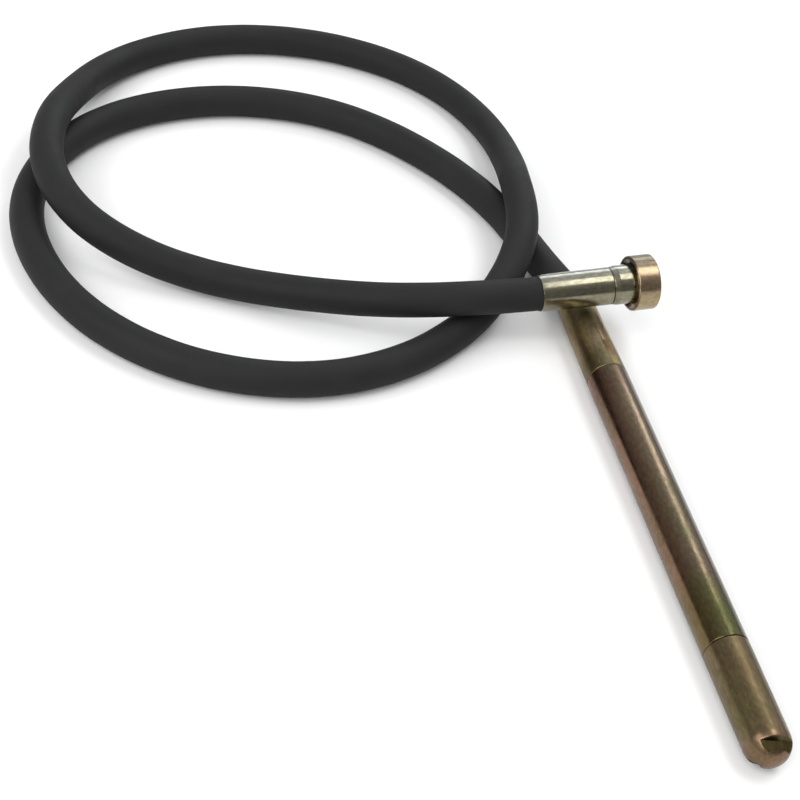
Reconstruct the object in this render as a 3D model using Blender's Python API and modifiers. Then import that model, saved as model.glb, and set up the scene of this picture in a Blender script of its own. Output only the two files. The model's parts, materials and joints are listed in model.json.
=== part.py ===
"""Concrete vibrator: a needle head, its rubber hose with a flexible drive core, and a drive coupling.

The head lies on the floor along Y, nose towards -Y. The origin is on the floor under the head's middle,
+Z is up and every size is in metres. The hose leaves the head's upper joint, lies in two loops on the
floor and ends in a ferrule and a flanged coupling, which rest across the head.

Inside, the core turns the main shaft in two ball bearings. A flexible link hands the turning on to a
pendulum, whose conical foot rolls round a hardened raceway in the tip and so shakes the head.
"""

import math

import bmesh
import bpy
import numpy as np
from mathutils import Matrix, Vector

# ---- General ------------------------------------------------------------------------------------
GAP = 0.0003                 # clearance between touching pieces
EDGE = 0.0006                # small chamfer on outer edges
COARSE, FINE, FINEST = 18, 24, 28    # segments round a turned piece

# ---- Head: stations along Y and radii -------------------------------------------------------------
HEAD_LENGTH = 0.500
HEAD_RADIUS = 0.0180
HEAD_TOP_Y = HEAD_LENGTH / 2
NOSE_Y = -HEAD_LENGTH / 2
TIP_SEAM_Y = -0.1500         # tip cap meets tube
JOINT_SEAM_Y = 0.1500        # tube meets upper joint
NOSE_RADIUS = 0.0177
JOINT_BOTTOM_RADIUS = 0.0178
JOINT_TOP_RADIUS = 0.0167
TUBE_BORE = 0.0125
BEARING_BORE = 0.0133        # seat for the bearings at the tube's upper end
BEARING_SEAT_Y = 0.1050
TIP_SPIGOT_LENGTH = 0.0120   # of the tube, in the tip
JOINT_SPIGOT_LENGTH = 0.0090     # of the joint, in the tube
TIP_SPIGOT_RADIUS = 0.0152
JOINT_SPIGOT_RADIUS = 0.0130
JOINT_FLAT_DEPTH = 0.0009
JOINT_FLAT_LENGTH = 0.0320
JOINT_FLAT_TILT = math.radians(17)   # turns the flats about the head's axis, from straight up to +X
NOSE_FLAT_Y = (-0.2464, -0.2380)
NOSE_FLAT_HALF_WIDTHS = (0.0066, 0.0098)     # the nose's flats slope towards its end
NOSE_FLAT_TILT = math.radians(10)

# ---- Raceway and pendulum -------------------------------------------------------------------------
RACE_RADIUS = 0.0120
RACE_OUTER = 0.0140
RACE_Y = (-0.2255, -0.1660)
PIVOT_Y = 0.0850             # where the link lets the pendulum swing
CONE_REACH = 0.2750          # pivot to the middle of the rolling cone
CONE_HALF_LENGTH = 0.0170
CONE_RADIUS = 0.0098
SWING = (RACE_RADIUS - CONE_RADIUS - GAP) / CONE_REACH    # the pendulum's slope, in radians
ROD_RADIUS = 0.0085

# ---- Shafts, bearings and core ----------------------------------------------------------------------
SHAFT_RADIUS = 0.0050
HEAD_BEARING = dict(outer=0.0130, inner=0.0053, pitch=0.0090, ball=0.0022, width=0.0080)
COUPLING_BEARING = dict(outer=0.0110, inner=0.0042, pitch=0.0075, ball=0.0017, width=0.0070)
BALLS = 7
FRONT_BEARING_Y = 0.1056
REAR_BEARING_Y = 0.1198
CORE_RADIUS = 0.0050
CORE_BORE = 0.0065           # way for the core through nipple and coupling body

# ---- Hose -------------------------------------------------------------------------------------------
HOSE_RADIUS = 0.0150
HOSE_WALL = 0.0056
HOSE_END_Y = 0.2225          # the hose's end inside the upper joint
HOSE_STATIONS = 68
SOCKET_RADIUS = 0.0153
SOCKET_Y = 0.2215

# ---- Coupling: its axis starts at the ferrule's hose-side edge ---------------------------------------
COUPLING_ORIGIN = Vector((-0.0502, 0.2274, 0.0494))
COUPLING_TILT = math.radians(6)      # rises away from the hose
COUPLING_HEADING = math.radians(4)   # from +X towards +Y
FERRULE_LENGTH = 0.0660
FERRULE_RADII = (0.0162, 0.0167)
HOSE_GRIP = 0.0400           # length of hose inside the ferrule
NECK_RADIUS = 0.0175
NECK_END = 0.0886
FLANGE_RADIUS = 0.0245
FLANGE = (0.0855, 0.1065)
SEAT_RADIUS = 0.0150         # where the flange sits on the body
CAVITY_RADIUS = 0.0195
SPINDLE_HEAD_RADIUS = 0.0090
SPINDLE_FACE = 0.0985

# The hose's way over the floor, from the coupling to the head: two loops, clockwise from above, with
# long low humps where it crosses itself. The straight ends in ferrule and joint are added to it.
ROUTE = [
    (-0.120, 0.222, 0.0460), (-0.178, 0.227, 0.0390), (-0.244, 0.248, 0.0265), (-0.313, 0.274, 0.0180),
    (-0.379, 0.298, 0.0235), (-0.435, 0.336, 0.0370), (-0.461, 0.398, 0.0455), (-0.456, 0.467, 0.0465),
    (-0.429, 0.546, 0.0320), (-0.388, 0.619, 0.0185), (-0.327, 0.669, 0.0150), (-0.225, 0.698, 0.0150),
    (-0.124, 0.681, 0.0150), (-0.042, 0.616, 0.0150), (-0.014, 0.550, 0.0175), (-0.012, 0.474, 0.0290),
    (-0.025, 0.395, 0.0465), (-0.036, 0.331, 0.0440), (-0.068, 0.269, 0.0270), (-0.110, 0.223, 0.0155),
    (-0.165, 0.181, 0.0150), (-0.240, 0.153, 0.0150), (-0.320, 0.155, 0.0150), (-0.388, 0.184, 0.0150),
    (-0.439, 0.233, 0.0150), (-0.471, 0.299, 0.0150), (-0.480, 0.371, 0.0150), (-0.461, 0.445, 0.0150),
    (-0.413, 0.512, 0.0150), (-0.342, 0.556, 0.0150), (-0.256, 0.573, 0.0150), (-0.168, 0.554, 0.0150),
    (-0.092, 0.494, 0.0150), (-0.036, 0.401, 0.0150), (-0.012, 0.310, 0.0158), (-0.004, 0.278, 0.0170),
]

# ---- Colours: red, green, blue, roughness, metallic ---------------------------------------------------
COLOURS = {
    "rubber": (0.028, 0.029, 0.031, 0.70, 0.0),
    "olive_zinc": (0.24, 0.19, 0.10, 0.35, 1.0),
    "gold_zinc": (0.42, 0.33, 0.19, 0.30, 1.0),
    "pale_zinc": (0.55, 0.53, 0.44, 0.25, 1.0),
    "bright_steel": (0.62, 0.62, 0.64, 0.25, 1.0),
    "dark_steel": (0.20, 0.20, 0.21, 0.40, 1.0),
    "seal_rubber": (0.05, 0.05, 0.05, 0.60, 0.0),
    "brass": (0.60, 0.45, 0.20, 0.35, 1.0),
}


def clear_scene():
    for obj in list(bpy.data.objects):
        bpy.data.objects.remove(obj, do_unlink=True)


def new_collection(name):
    collection = bpy.data.collections.new(name)
    bpy.context.scene.collection.children.link(collection)
    return collection


def make_material(name):
    red, green, blue, roughness, metallic = COLOURS[name]
    material = bpy.data.materials.new(name)
    material.use_nodes = True
    shader = material.node_tree.nodes["Principled BSDF"]
    shader.inputs["Base Color"].default_value = (red, green, blue, 1.0)
    shader.inputs["Roughness"].default_value = roughness
    shader.inputs["Metallic"].default_value = metallic
    return material


clear_scene()
PART = new_collection("concrete_vibrator")
CUTTERS = new_collection("cutters")
MATERIALS = {name: make_material(name) for name in COLOURS}


def place(name, data, material, parent=None):
    """Adds an object of the part, on its parent's axis."""
    obj = bpy.data.objects.new(name, data)
    PART.objects.link(obj)
    obj.parent = parent
    data.materials.append(MATERIALS[material])
    return obj


def axis_empty(name, matrix, parent=None):
    """An axis to build on: turned pieces have their own Z along it."""
    empty = bpy.data.objects.new(name, None)
    PART.objects.link(empty)
    empty.parent = parent
    empty.matrix_local = matrix
    return empty


def turned(name, profile, parent, material, closed=True, segments=FINE):
    """Turns a profile of (radius, station) points, which runs down its outer side and up its inner side."""
    mesh = bpy.data.meshes.new(name)
    edges = [(i, i + 1) for i in range(len(profile) - 1)]
    if closed:
        edges.append((len(profile) - 1, 0))
    mesh.from_pydata([(radius, 0.0, station) for radius, station in profile], edges, [])
    obj = place(name, mesh, material, parent)
    screw = obj.modifiers.new("turn", "SCREW")
    screw.axis = "Z"
    screw.angle = 2 * math.pi
    screw.steps = segments
    screw.render_steps = segments
    screw.use_merge_vertices = True
    screw.merge_threshold = 0.00001
    screw.use_smooth_shade = True
    return obj


def ring(name, inner, outer, low, high, parent, material, segments=COARSE):
    """A plain ring with a rectangular section."""
    profile = [(outer, high), (outer, low), (inner, low), (inner, high)]
    return turned(name, profile, parent, material, segments=segments)


def o_ring(name, centre_radius, section, station, parent):
    profile = []
    for i in range(6):
        angle = -2 * math.pi * i / 6
        profile.append((centre_radius + section * math.cos(angle), station + section * math.sin(angle)))
    return turned(name, profile, parent, "seal_rubber")


def groove_arc(pitch, radius, middle, side, points=4):
    """Points of a ball groove, cut outwards (side 1) or inwards (side -1) of the pitch circle."""
    arc = []
    for i in range(points):
        angle = math.radians(-50 + 100 * i / (points - 1))
        arc.append((pitch + side * radius * math.cos(angle), middle + radius * math.sin(angle)))
    return arc


def ball_bearing(name, low, size, parent):
    """Outer race, inner race and one ring of balls held by their cage."""
    high = low + size["width"]
    middle = (low + high) / 2
    groove = size["ball"] + 0.0003
    outer_arc = groove_arc(size["pitch"], groove, middle, 1)
    inner_arc = groove_arc(size["pitch"], groove, middle, -1)
    outer_land = outer_arc[0][0]
    inner_land = inner_arc[0][0]
    outer = [(size["outer"], high), (size["outer"], low), (outer_land, low), *outer_arc, (outer_land, high)]
    inner = [(inner_land, high), *reversed(inner_arc), (inner_land, low), (size["inner"], low),
             (size["inner"], high)]
    turned(name + "_outer_race", outer, parent, "bright_steel", segments=COARSE)
    turned(name + "_inner_race", inner, parent, "bright_steel", segments=COARSE)
    cage = ring(name + "_balls", size["pitch"] - 0.0006, size["pitch"] + 0.0006, middle - 0.0013,
                middle + 0.0013, parent, "brass", segments=2 * BALLS)
    balls = bmesh.new()
    for i in range(BALLS):
        turn = Matrix.Rotation(2 * math.pi * i / BALLS, 4, "Z")
        spot = turn @ Matrix.Translation((size["pitch"], 0, middle))
        bmesh.ops.create_uvsphere(balls, u_segments=6, v_segments=5, radius=size["ball"], matrix=spot)
    unite(cage, cutter(name + "_ball_set", balls, parent))


def cutter(name, shape, parent, matrix=None):
    """A shape for a Boolean, from a bmesh, kept out of the part."""
    mesh = bpy.data.meshes.new(name)
    shape.to_mesh(mesh)
    shape.free()
    obj = bpy.data.objects.new(name, mesh)
    CUTTERS.objects.link(obj)
    obj.parent = parent
    if matrix:
        obj.matrix_local = matrix
    obj.hide_render = True
    obj.display_type = "WIRE"
    return obj


def box(width, depth, height):
    shape = bmesh.new()
    bmesh.ops.create_cube(shape, size=1.0, matrix=Matrix.Diagonal((width, depth, height, 1.0)))
    return shape


def boolean(obj, tool, operation):
    modifier = obj.modifiers.new(tool.name, "BOOLEAN")
    modifier.operation = operation
    modifier.solver = "EXACT"
    modifier.object = tool


def unite(obj, tool):
    boolean(obj, tool, "UNION")


def cut(obj, tool):
    boolean(obj, tool, "DIFFERENCE")


def cut_flats(obj, parent, half_widths, stations, tilt):
    """Two opposite spanner flats between two stations, with a half width at each of the two."""
    low, high = stations
    thickness = 0.010
    middle = sum(half_widths) / 2
    slope = (half_widths[1] - half_widths[0]) / (high - low)
    for side in (1, -1):
        turn = Matrix.Rotation(tilt, 4, "Z")
        spot = Matrix.Translation((0, -side * (middle + thickness / 2), (low + high) / 2))
        shear = Matrix.Identity(4)
        shear[1][2] = -side * slope
        shape = box(0.060, thickness, high - low)
        bmesh.ops.transform(shape, matrix=shear, verts=shape.verts)
        cut(obj, cutter(f"{obj.name}_flat_{side}", shape, parent, turn @ spot))


def retaining_ring(name, inner, outer, low, high, parent, opening):
    """A spring ring with a gap, `opening` wide, on its +X side."""
    obj = ring(name, inner, outer, low, high, parent, "dark_steel")
    spot = Matrix.Translation(((inner + outer) / 2, 0, (low + high) / 2))
    cut(obj, cutter(name + "_gap", box(outer - inner + 0.002, opening, high - low + 0.002), parent, spot))
    return obj


# ---- Head -------------------------------------------------------------------------------------------
def tip_cap(head):
    """The closed tip: socket for the tube's spigot, bore for the raceway, round nose with two flats."""
    spigot_end = TIP_SEAM_Y - TIP_SPIGOT_LENGTH
    nose_centre = NOSE_Y + NOSE_RADIUS
    seam = TIP_SEAM_Y - GAP
    profile = [(0, RACE_Y[0] - 0.0015), (RACE_OUTER + GAP, RACE_Y[0] - 0.0015),
               (RACE_OUTER + GAP, spigot_end - 0.002), (TIP_SPIGOT_RADIUS + GAP, spigot_end - 0.002),
               (TIP_SPIGOT_RADIUS + GAP, seam), (HEAD_RADIUS - EDGE, seam), (HEAD_RADIUS, seam - EDGE)]
    arc_points = 7
    for i in range(arc_points + 1):
        angle = math.pi / 2 * i / arc_points
        profile.append((NOSE_RADIUS * math.cos(angle), nose_centre - NOSE_RADIUS * math.sin(angle)))
    profile[-1] = (0, NOSE_Y)
    cap = turned("tip_cap", profile, head, "gold_zinc", closed=False, segments=FINEST)
    cut_flats(cap, head, NOSE_FLAT_HALF_WIDTHS, NOSE_FLAT_Y, NOSE_FLAT_TILT)


def tube_casing(head):
    """The long tube, with a spigot for the tip below and the bearing seat above."""
    spigot_end = TIP_SEAM_Y - TIP_SPIGOT_LENGTH
    groove = (TIP_SEAM_Y - 0.0037, TIP_SEAM_Y - 0.0057)
    ring_groove = (0.1382, 0.1364)
    profile = [(HEAD_RADIUS - EDGE, JOINT_SEAM_Y), (HEAD_RADIUS, JOINT_SEAM_Y - EDGE),
               (HEAD_RADIUS, TIP_SEAM_Y + EDGE), (HEAD_RADIUS - EDGE, TIP_SEAM_Y),
               (TIP_SPIGOT_RADIUS, TIP_SEAM_Y), (TIP_SPIGOT_RADIUS, groove[0]), (0.0137, groove[0]),
               (0.0137, groove[1]), (TIP_SPIGOT_RADIUS, groove[1]), (TIP_SPIGOT_RADIUS, spigot_end),
               (TUBE_BORE, spigot_end), (TUBE_BORE, BEARING_SEAT_Y), (BEARING_BORE, BEARING_SEAT_Y),
               (BEARING_BORE, ring_groove[1]), (0.0141, ring_groove[1]), (0.0141, ring_groove[0]),
               (BEARING_BORE, ring_groove[0]), (BEARING_BORE, JOINT_SEAM_Y)]
    turned("tube_casing", profile, head, "olive_zinc", segments=FINEST)
    o_ring("tip_o_ring", 0.01465, 0.0006, (groove[0] + groove[1]) / 2, head)


def upper_joint(head):
    """The tapered joint: spigot in the tube, socket for the hose, two spanner flats."""
    seam = JOINT_SEAM_Y + GAP
    spigot_end = JOINT_SEAM_Y - JOINT_SPIGOT_LENGTH
    groove = (JOINT_SEAM_Y - 0.0030, JOINT_SEAM_Y - 0.0048)
    bore = 0.0095
    profile = [(JOINT_TOP_RADIUS - EDGE, HEAD_TOP_Y), (JOINT_TOP_RADIUS, HEAD_TOP_Y - EDGE),
               (JOINT_BOTTOM_RADIUS, seam + EDGE), (JOINT_BOTTOM_RADIUS - EDGE, seam),
               (JOINT_SPIGOT_RADIUS, seam), (JOINT_SPIGOT_RADIUS, groove[0]), (0.0118, groove[0]),
               (0.0118, groove[1]), (JOINT_SPIGOT_RADIUS, groove[1]), (JOINT_SPIGOT_RADIUS, spigot_end),
               (bore, spigot_end), (bore, SOCKET_Y), (SOCKET_RADIUS, SOCKET_Y), (SOCKET_RADIUS, HEAD_TOP_Y)]
    joint = turned("upper_joint", profile, head, "olive_zinc", segments=FINEST)
    low = seam + 0.0012
    half_width = JOINT_BOTTOM_RADIUS - JOINT_FLAT_DEPTH
    cut_flats(joint, head, (half_width, half_width), (low, low + JOINT_FLAT_LENGTH), JOINT_FLAT_TILT)
    o_ring("joint_o_ring", 0.01255, 0.0006, (groove[0] + groove[1]) / 2, head)


def hose_nipple(head):
    """Screwed into the upper joint, with a barbed tail inside the hose."""
    tail, barb, end = 0.0076, 0.0082, 0.2430
    profile = [(tail, end)]
    for start in (0.2370, 0.2290):
        profile += [(barb, start), (tail, start - 0.0010)]
    profile += [(tail, SOCKET_Y - GAP), (0.0092, SOCKET_Y - GAP), (0.0092, 0.2000), (CORE_BORE, 0.2000),
                (CORE_BORE, end)]
    turned("hose_nipple", profile, head, "bright_steel", segments=COARSE)


def raceway(head):
    low, high = RACE_Y
    profile = [(RACE_OUTER, high), (RACE_OUTER, low), (RACE_RADIUS, low), (RACE_RADIUS, high - 0.001),
               (RACE_RADIUS + 0.001, high)]
    turned("raceway_sleeve", profile, head, "bright_steel", segments=FINEST)


def shaft_group(head):
    """Main shaft with its bearings, spacers, rings and seal, clamped under the upper joint."""
    socket = (0.0880, 0.1000)
    top = 0.1680
    profile = [(0, top), (0.0040, top), (0.0040, 0.1500), (SHAFT_RADIUS, 0.1500), (SHAFT_RADIUS, 0.1293),
               (0.0045, 0.1293), (0.0045, 0.1281), (SHAFT_RADIUS, 0.1281), (SHAFT_RADIUS, 0.1053),
               (0.0086, 0.1053), (0.0086, socket[0]), (0.0063, socket[0]), (0.0063, socket[1]),
               (0, socket[1])]
    turned("main_shaft", profile, head, "bright_steel", closed=False, segments=COARSE)
    ball_bearing("front_bearing", FRONT_BEARING_Y, HEAD_BEARING, head)
    ball_bearing("rear_bearing", REAR_BEARING_Y, HEAD_BEARING, head)
    low = FRONT_BEARING_Y + HEAD_BEARING["width"] + GAP
    high = REAR_BEARING_Y - GAP
    ring("inner_spacer", HEAD_BEARING["inner"], 0.0070, low, high, head, "bright_steel")
    ring("outer_spacer", 0.0112, HEAD_BEARING["outer"], low, high, head, "bright_steel")
    retaining_ring("shaft_ring", 0.0047, 0.0072, 0.1283, 0.1291, head, 0.0030)
    turned("shaft_seal",
           [(0.0130, 0.1360), (0.0130, 0.1300), (0.0053, 0.1300), (0.0053, 0.1312), (0.0075, 0.1320),
            (0.0075, 0.1360)], head, "seal_rubber", segments=COARSE)
    retaining_ring("bearing_ring", 0.0110, 0.0138, 0.1367, 0.1379, head, 0.0060)


def core_adapter(head):
    """Joins the flexible core to the main shaft's upper end."""
    profile = [(0, 0.1760), (CORE_RADIUS + GAP, 0.1760), (CORE_RADIUS + GAP, 0.1950), (0.0072, 0.1950),
               (0.0078, 0.1940), (0.0078, 0.1515), (0.0043, 0.1515), (0.0043, 0.1690), (0, 0.1690)]
    turned("core_adapter", profile, head, "dark_steel", closed=False, segments=COARSE)


def flexible_link(head):
    """A stub of wire rope with two end sleeves, one in the shaft's socket and one in the pendulum's."""
    rope, sleeve = 0.0034, 0.0059
    profile = [(0, 0.0995), (sleeve, 0.0995), (sleeve, 0.0900), (rope, 0.0895), (rope, 0.0740),
               (sleeve, 0.0735), (sleeve, 0.0645), (0, 0.0645)]
    turned("flexible_link", profile, head, "dark_steel", closed=False, segments=COARSE)


def pendulum(head):
    """A heavy rod that hangs from the link, leans by SWING and ends in the rolling cone."""
    lean = Matrix.Rotation(SWING, 4, "X")
    axis = axis_empty("pendulum_axis", Matrix.Translation((0, 0, PIVOT_Y)) @ lean, head)

    def cone_radius(reach):
        return RACE_RADIUS - GAP - SWING * reach

    near = CONE_REACH - CONE_HALF_LENGTH
    far = CONE_REACH + CONE_HALF_LENGTH
    profile = [(0, -0.0215), (0.0063, -0.0215), (0.0063, -0.0100), (ROD_RADIUS - EDGE, -0.0100),
               (ROD_RADIUS, -0.0110), (ROD_RADIUS, -0.2300), (0.0060, -0.2360), (0.0060, -0.2540),
               (cone_radius(near) - EDGE, -0.2560), (cone_radius(near), -near), (cone_radius(far), -far),
               (cone_radius(far) - 0.001, -far - 0.001), (0, -far - 0.001)]
    turned("pendulum_rotor", profile, axis, "dark_steel", closed=False, segments=COARSE)


# ---- Coupling -----------------------------------------------------------------------------------------
def coupling_matrix():
    along = Vector((math.cos(COUPLING_TILT) * math.cos(COUPLING_HEADING),
                    math.cos(COUPLING_TILT) * math.sin(COUPLING_HEADING), math.sin(COUPLING_TILT)))
    up = (Vector((0, 0, 1)) - along * along.z).normalized()
    side = up.cross(along)
    turn = Matrix((side, up, along)).transposed().to_4x4()
    return Matrix.Translation(COUPLING_ORIGIN) @ turn


def ferrule(axis):
    """The steel sleeve pressed over the hose's end."""
    step = HOSE_GRIP + 0.0008
    profile = [(FERRULE_RADII[1] - EDGE, FERRULE_LENGTH), (FERRULE_RADII[1], FERRULE_LENGTH - EDGE),
               (FERRULE_RADII[0], 0.004), (FERRULE_RADII[0] - 0.0004, 0), (SOCKET_RADIUS, 0),
               (SOCKET_RADIUS, step), (0.0143, step), (0.0143, FERRULE_LENGTH)]
    turned("ferrule", profile, axis, "pale_zinc", segments=FINEST)


def coupling_body(axis):
    """Barbed stem in the hose, spigot in the ferrule, neck, seat for the flange, bore for the bearing."""
    tail, barb, spigot, seat_bore, groove = 0.0076, 0.0082, 0.0140, 0.0113, 0.0121
    neck_start = FERRULE_LENGTH + GAP
    front = 0.0971
    profile = [(SEAT_RADIUS, front), (SEAT_RADIUS, 0.0962), (0.0140, 0.0962), (0.0140, 0.0946),
               (SEAT_RADIUS, 0.0946), (SEAT_RADIUS, NECK_END), (NECK_RADIUS, NECK_END),
               (NECK_RADIUS, neck_start + EDGE), (NECK_RADIUS - EDGE, neck_start), (spigot, neck_start),
               (spigot, HOSE_GRIP + 0.0012), (tail, HOSE_GRIP + 0.0012)]
    for start in (0.0330, 0.0190):
        profile += [(tail, start + 0.0010), (barb, start), (tail, start - 0.0080)]
    profile += [(0.0074, 0.0020), (CORE_BORE, 0.0020), (CORE_BORE, 0.0620), (0.0090, 0.0620),
                (0.0090, 0.0680), (seat_bore, 0.0680), (seat_bore, 0.0812), (groove, 0.0812),
                (groove, 0.0828), (seat_bore, 0.0828), (seat_bore, front)]
    turned("coupling_body", profile, axis, "pale_zinc")


def coupling_flange(axis):
    """The collar that the drive motor's clamp holds, hollow at the front round the spindle's head."""
    back, front = FLANGE
    chamfer = 0.0010
    web = (0.0889, 0.0938)
    profile = [(FLANGE_RADIUS - chamfer, front), (FLANGE_RADIUS, front - chamfer),
               (FLANGE_RADIUS, back + chamfer), (FLANGE_RADIUS - chamfer, back), (0.0215, back),
               (0.0195, back + 0.0015), (NECK_RADIUS + GAP, back + 0.0022), (NECK_RADIUS + GAP, web[0]),
               (SEAT_RADIUS + GAP, web[0]), (SEAT_RADIUS + GAP, web[1]), (CAVITY_RADIUS, web[1]),
               (CAVITY_RADIUS, front - chamfer), (CAVITY_RADIUS + chamfer, front)]
    turned("coupling_flange", profile, axis, "gold_zinc", segments=FINEST)
    retaining_ring("flange_ring", 0.0143, 0.0174, 0.0948, 0.0959, axis, 0.0060)


def spindle_group(axis):
    """Drive spindle with a slotted head, its bearing, seal and ring, and the sleeve on the core's end."""
    profile = [(0, SPINDLE_FACE), (SPINDLE_HEAD_RADIUS - EDGE, SPINDLE_FACE),
               (SPINDLE_HEAD_RADIUS, SPINDLE_FACE - EDGE), (SPINDLE_HEAD_RADIUS, 0.0871), (0.0058, 0.0871),
               (0.0058, 0.0756), (0.0039, 0.0756), (0.0039, 0.0658), (0.0058, 0.0655), (0.0058, 0.0552),
               (0.0045, 0.0552), (0.0045, 0.0630), (0, 0.0630)]
    spindle = turned("drive_spindle", profile, axis, "bright_steel", closed=False, segments=COARSE)
    slot_width, slot_depth = 0.0050, 0.0060
    for i in range(2):
        turn = Matrix.Rotation(i * math.pi / 2, 4, "Z")
        spot = turn @ Matrix.Translation((0, 0, SPINDLE_FACE))
        cut(spindle, cutter(f"spindle_slot_{i}", box(0.030, slot_width, slot_depth * 2), axis, spot))
    ball_bearing("spindle_bearing", 0.0683, COUPLING_BEARING, axis)
    turned("spindle_seal",
           [(0.0110, 0.0806), (0.0110, 0.0758), (0.0061, 0.0758), (0.0061, 0.0768), (0.0078, 0.0776),
            (0.0078, 0.0806)], axis, "seal_rubber", segments=COARSE)
    retaining_ring("spindle_ring", 0.0095, 0.0118, 0.0815, 0.0825, axis, 0.0050)
    sleeve = [(0, 0.0620), (0.0042, 0.0620), (0.0042, 0.0548), (0.0060, 0.0548), (0.0060, 0.0360),
              (CORE_RADIUS + GAP, 0.0360), (CORE_RADIUS + GAP, 0.0480), (0, 0.0480)]
    turned("core_end_sleeve", sleeve, axis, "bright_steel", closed=False, segments=COARSE)


# ---- Hose and core --------------------------------------------------------------------------------------
def smooth_curve(points, count):
    """Stations on the natural cubic spline through the points, never lower than a hose on the floor.

    The first and the last span stay straight.
    """
    points = np.array(points, dtype=float)
    spans = np.linalg.norm(np.diff(points, axis=0), axis=1)
    knots = np.concatenate(([0.0], np.cumsum(spans)))
    size = len(points)
    system = np.eye(size)
    right = np.zeros((size, 3))
    for i in range(1, size - 1):
        system[i, i - 1] = spans[i - 1]
        system[i, i] = 2 * (spans[i - 1] + spans[i])
        system[i, i + 1] = spans[i]
        right[i] = 6 * ((points[i + 1] - points[i]) / spans[i] - (points[i] - points[i - 1]) / spans[i - 1])
    bend = np.linalg.solve(system, right)
    stations = [points[0]]
    for knot in np.linspace(knots[1], knots[-2], count - 2):
        i = min(int(np.searchsorted(knots, knot, side="right")) - 1, size - 2)
        ahead = (knot - knots[i]) / spans[i]
        back = 1 - ahead
        chord = back * points[i] + ahead * points[i + 1]
        bulge = (back ** 3 - back) * bend[i] + (ahead ** 3 - ahead) * bend[i + 1]
        station = chord + bulge * spans[i] ** 2 / 6
        station[2] = max(station[2], HOSE_RADIUS)
        stations.append(station)
    return [*stations, points[-1]]


def tube_along(name, stations, radius, resolution, material, capped):
    """A round tube on a POLY spline."""
    curve = bpy.data.curves.new(name, "CURVE")
    curve.dimensions = "3D"
    curve.bevel_depth = radius
    curve.bevel_resolution = resolution
    curve.use_fill_caps = capped
    spline = curve.splines.new("POLY")
    spline.points.add(len(stations) - 1)
    for point, station in zip(spline.points, stations):
        point.co = (*station, 1.0)
    return place(name, curve, material)


def hollowed(obj, wall):
    """Turns an open curve tube into a mesh with a wall."""
    depsgraph = bpy.context.evaluated_depsgraph_get()
    mesh = bpy.data.meshes.new_from_object(obj.evaluated_get(depsgraph))
    name = obj.name
    matrix = obj.matrix_world.copy()
    bpy.data.objects.remove(obj, do_unlink=True)
    mesh.name = name
    shell = bpy.data.objects.new(name, mesh)
    PART.objects.link(shell)
    shell.matrix_world = matrix
    solidify = shell.modifiers.new("wall", "SOLIDIFY")
    solidify.thickness = wall
    solidify.offset = -1.0


def hose_and_core():
    axis = coupling_matrix()

    def on_axis(station):
        return tuple(axis @ Vector((0, 0, station)))

    def in_head(station):
        return (0.0, station, HEAD_RADIUS)

    route = [on_axis(HOSE_GRIP), on_axis(0), *ROUTE, in_head(HEAD_TOP_Y + 0.001), in_head(HOSE_END_Y)]
    stations = smooth_curve(route, HOSE_STATIONS)
    core = [on_axis(0.0470), *stations, in_head(0.1785)]
    tube = tube_along("rubber_hose", stations, HOSE_RADIUS, 3, "rubber", capped=False)
    bpy.context.view_layer.update()
    hollowed(tube, HOSE_WALL)
    tube_along("flexible_core", core, CORE_RADIUS, 1, "dark_steel", capped=True)


def build():
    head = axis_empty("head_axis",
                      Matrix.Translation((0, 0, HEAD_RADIUS)) @ Matrix.Rotation(-math.pi / 2, 4, "X"))
    for piece in (tip_cap, tube_casing, upper_joint, hose_nipple, raceway, shaft_group, core_adapter,
                  flexible_link, pendulum):
        piece(head)
    axis = axis_empty("coupling_axis", coupling_matrix())
    for piece in (ferrule, coupling_body, coupling_flange, spindle_group):
        piece(axis)
    hose_and_core()


build()
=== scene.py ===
"""Concrete vibrator: needle head, rubber hose and drive coupling, on a pale studio floor.

All sizes are in metres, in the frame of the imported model: the head lies along Y, nose towards -Y, with the
origin on the floor under its middle. Turned pieces are built with their own Z along their axis.
"""

import json
import math

import bmesh
import bpy
import numpy as np
from mathutils import Matrix, Vector, noise


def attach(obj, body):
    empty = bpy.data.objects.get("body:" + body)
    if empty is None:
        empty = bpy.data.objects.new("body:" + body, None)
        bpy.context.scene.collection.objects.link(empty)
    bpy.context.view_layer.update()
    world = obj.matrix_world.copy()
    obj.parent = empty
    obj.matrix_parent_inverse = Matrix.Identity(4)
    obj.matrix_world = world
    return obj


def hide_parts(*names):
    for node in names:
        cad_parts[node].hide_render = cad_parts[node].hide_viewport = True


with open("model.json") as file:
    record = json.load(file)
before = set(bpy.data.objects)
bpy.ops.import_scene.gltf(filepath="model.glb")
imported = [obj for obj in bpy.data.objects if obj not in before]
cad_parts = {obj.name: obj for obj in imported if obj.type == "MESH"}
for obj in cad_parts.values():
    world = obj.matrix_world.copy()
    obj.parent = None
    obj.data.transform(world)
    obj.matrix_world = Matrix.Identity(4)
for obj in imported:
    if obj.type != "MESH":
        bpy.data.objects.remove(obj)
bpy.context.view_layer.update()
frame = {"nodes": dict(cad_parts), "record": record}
NODES = frame["nodes"]
SCENE = bpy.context.scene

# ---- General ------------------------------------------------------------------------------------------
GAP = 0.0003                 # between pieces that touch
EDGE = 0.0006                # chamfer on outer edges
STEPS = 160                  # segments round a turned piece
SHARP_ANGLE = math.radians(32)

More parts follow.
